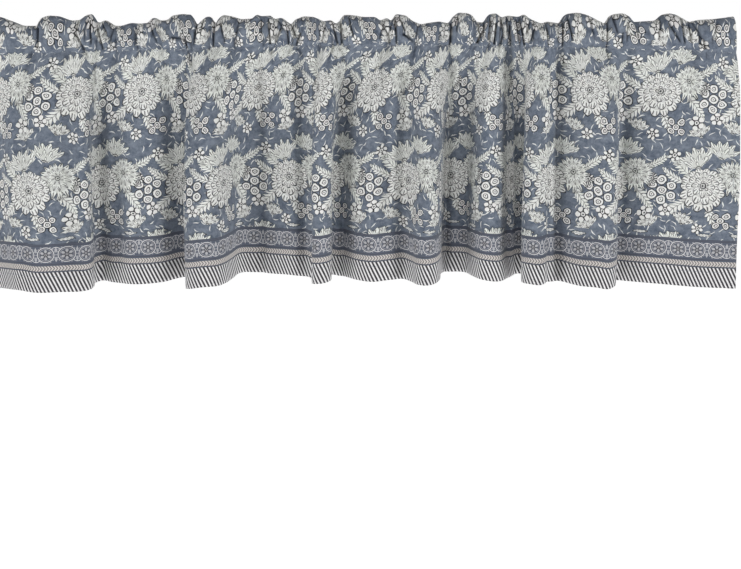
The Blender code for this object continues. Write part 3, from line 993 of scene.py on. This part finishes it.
def drop_surface(flat, down):
    """Points of the hanging cloth at flat places across and lengths down from the stitching."""
    top = stitch_line(flat)
    hem_x = np.interp(flat, hem_flat, hem[:, 0])
    hem_y = -np.interp(flat, hem_flat, hem[:, 1])
    opened = (1 - np.exp(-down / FOLD_SETTLE)) / (1 - math.exp(-DROP / FOLD_SETTLE))
    opened = np.clip(opened, 0, 1)
    x = top[:, 0] + opened * (hem_x - top[:, 0])
    y = top[:, 1] + opened * (hem_y - top[:, 1])
    z = top[:, 2] - down + down / DROP * np.interp(flat, hem_flat, hem[:, 2])
    z -= seam_waver(flat) * (1 - np.exp(-np.clip(down, 0, None) / WAVER_LENGTH))
    loose = np.clip(down / LOOSE_FROM, 0, 1)
    y += loose * uneven(flat, down, *SWAY_OUT)
    x += loose * uneven(flat, down, *SWAY_ACROSS)
    gathered = np.exp(-down / PLEAT_LENGTH) * np.clip(down / PLEAT_START, 0, 1)
    y += PLEAT_OUT * puckers(flat) * gathered
    y += crumpled(flat, down, *DROP_CRUMPLE) * np.exp(-down / CRUMPLE_LENGTH)
    share_in, lips = pressed(x, z)[:2]
    y += (share_in * CREASE_IN - lips * CREASE_LIP) * np.clip(down / CREASE_START, 0, 1)
    y += troughs(x, down)
    return np.column_stack((x, y, z))


def cloth_back(flat, down):
    """Level directions that point out of the cloth's back."""
    step = 2 * MM
    before = drop_surface(np.clip(flat - step, 0, None), down)
    after = drop_surface(np.clip(flat + step, None, FLAT_WIDTH), down)
    along = after - before
    out = np.column_stack((-along[:, 1], along[:, 0], 0 * flat))
    return out / np.linalg.norm(out, axis=1)[:, None]


def hem_gap(turned):
    """How far the turned-up layer's middle is behind the front's, this far up from the fold."""
    return HEM_GAP * (1 - HEM_CLOSED * (turned / HEM_UP) ** 2)


def hemmed_drop(flat, down):
    """The drop with its hem turned up: past the fold the cloth runs back up behind itself."""
    turned = np.clip(down - DROP, 0, None)
    behind = np.minimum(down, DROP) - turned
    gap = hem_gap(turned) * (1 - np.exp(-turned / FOLD_ROUND))
    return drop_surface(flat, behind) + gap[:, None] * cloth_back(flat, behind)


def drop_chart(flat, down):
    return flat, DROP - down


DROP_COLUMNS, DROP_ROWS = 480, 92
ROW_CROWDING = 1.2  # above 1, so that the rows are closer together toward the stitching
drop_rows = -SEAM_TUCK + (DROP + SEAM_TUCK) * np.linspace(0, 1, DROP_ROWS) ** ROW_CROWDING
turned_rows = DROP + HEM_UP * np.array((0.03, 0.08, 0.2, 0.4, 0.6, 0.8, 1.0))
drop = hung_cloth(
    "hanging_drop",
    np.linspace(0, FLAT_WIDTH, DROP_COLUMNS),
    np.concatenate((drop_rows, turned_rows))[::-1],
    hemmed_drop,
    drop_chart,
    (right_side, wrong_side),
)
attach(drop, "root")
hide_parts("drop")

# Stitching
# Straight machine seams in one grey-blue cotton thread, which close the pocket and hold the hem and
# the two side hems. Each stitch sinks a little into the cloth, and they show on both its sides.

STITCH_PITCH = 3.2 * MM
STITCH = (1.35 * MM, 0.26 * MM, 0.3 * MM)  # half its length, depth and width
STANDS_OUT = 0.08 * MM  # how far a stitch's middle is above the cloth
LAYER = THICK * HEM_SHARE / 2  # from the middle of a single layer of cloth to its face
POCKET_SEAM = 1.5 * MM  # down from the pocket's edge
HEM_SEAM = DROP - HEM_UP + 2 * MM
SIDE_SEAM = SIDE_HEM - 2 * MM
FIBRE = 0.9 * MM
THREAD_DARK, THREAD_PALE = dye(84, 92, 106), dye(146, 153, 164)


def sew(bm, flat, down, front, back):
    """A row of stitches on both faces of the cloth, which are this far from its middle."""
    points = drop_surface(flat, down)
    run = np.gradient(points, axis=0)
    run /= np.linalg.norm(run, axis=1)[:, None]
    facing = cloth_back(flat, down)
    for depth in (-front - STANDS_OUT, back + STANDS_OUT):
        for point, along, out in zip(points + depth * facing, run, facing):
            turn = Matrix((along, out, np.cross(along, out))).transposed().to_4x4()
            place = Matrix.Translation(point) @ turn @ Matrix.Diagonal((*STITCH, 1))
            bmesh.ops.create_icosphere(bm, subdivisions=1, radius=1, matrix=place)


bm = bmesh.new()
across = np.arange(STITCH_PITCH, FLAT_WIDTH - STITCH_PITCH / 2, STITCH_PITCH)
sew(bm, across, POCKET_SEAM + 0 * across, LAYER, LAYER)
sew(bm, across, HEM_SEAM + 0 * across, LAYER, LAYER + hem_gap(DROP - HEM_SEAM))
downward = np.arange(3 * STITCH_PITCH, HEM_SEAM - STITCH_PITCH, STITCH_PITCH)
for side in (SIDE_SEAM, FLAT_WIDTH - SIDE_SEAM):
    sew(bm, side + 0 * downward, downward, THICK / 2, THICK / 2)

thread, shader = new_material("sewing thread")
place = new_node(thread.node_tree, "TexCoord")
fibres = noise_node(place.outputs["Object"], 1 / FIBRE)
tone = Measure(fibres.outputs["Fac"])
yarn = blend(thread.node_tree, tone, THREAD_DARK, THREAD_PALE)
raise_surface(shader, tone, 0.4, 0.1 * MM)
set_up(shader, Base_Color=yarn, Roughness=0.7, Specular_IOR_Level=0.3)
seams = finished("seams", bm, [thread])
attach(seams, "root")

# Studio
# A pale floor well below the valance, a white surround and three broad soft lights, with the camera
# at the rod's height looking a little down, as the photo was taken.

FLOOR_Z, FLOOR_SIZE = -1.3, 16
VALANCE_MIDDLE = (0, 0, -0.17)
AMBIENT = 0.12  # light of the surround on the valance, against 1 as the camera sees it
CAMERA_AWAY = 2.0
CAMERA_DOWN = math.radians(10)
CAMERA_LENS = 69.2

bm = bmesh.new()
bmesh.ops.create_grid(bm, x_segments=1, y_segments=1, size=FLOOR_SIZE / 2)
bmesh.ops.translate(bm, verts=bm.verts, vec=(0, 0, FLOOR_Z))
pale, shader = new_material("pale floor")
set_up(shader, Base_Color=(0.93, 0.93, 0.93, 1), Roughness=0.9)
set_up(shader, Emission_Color=(1, 1, 1, 1), Emission_Strength=0.9)
floor = finished("floor", bm, [pale])


def soft_light(name, place, size, power):
    """A square area light that faces the valance's middle."""
    data = bpy.data.lights.new(name, "AREA")
    data.size = size
    data.energy = power
    lamp = put_in_scene(name, data)
    lamp.location = place
    aim = Vector(VALANCE_MIDDLE) - Vector(place)
    lamp.rotation_euler = aim.to_track_quat("-Z", "Y").to_euler()


soft_light("left light", (-2.2, -1.8, 0.8), 0.9, 24)
soft_light("right light", (2.3, -1.7, 0.9), 0.9, 29)
soft_light("front light", (0.2, -2.6, 0.4), 1.0, 6.5)

world = bpy.data.worlds.new("white surround")
world.use_nodes = True
seen = Measure(new_node(world.node_tree, "LightPath").outputs["Is Camera Ray"])
bright = seen.calc("MULTIPLY_ADD", seen, 1 - AMBIENT, AMBIENT)
set_up(world.node_tree.nodes["Background"], Color=(1, 1, 1, 1), Strength=bright)
bpy.context.scene.world = world
bpy.context.scene.view_settings.view_transform = "Standard"

camera_data = bpy.data.cameras.new("camera")
camera_data.lens = CAMERA_LENS
camera_data.sensor_width = 36
camera = put_in_scene("camera", camera_data)
camera.location = (0, -CAMERA_AWAY, 0)
camera.rotation_euler = (math.pi / 2 - CAMERA_DOWN, 0, 0)
bpy.context.scene.camera = camera
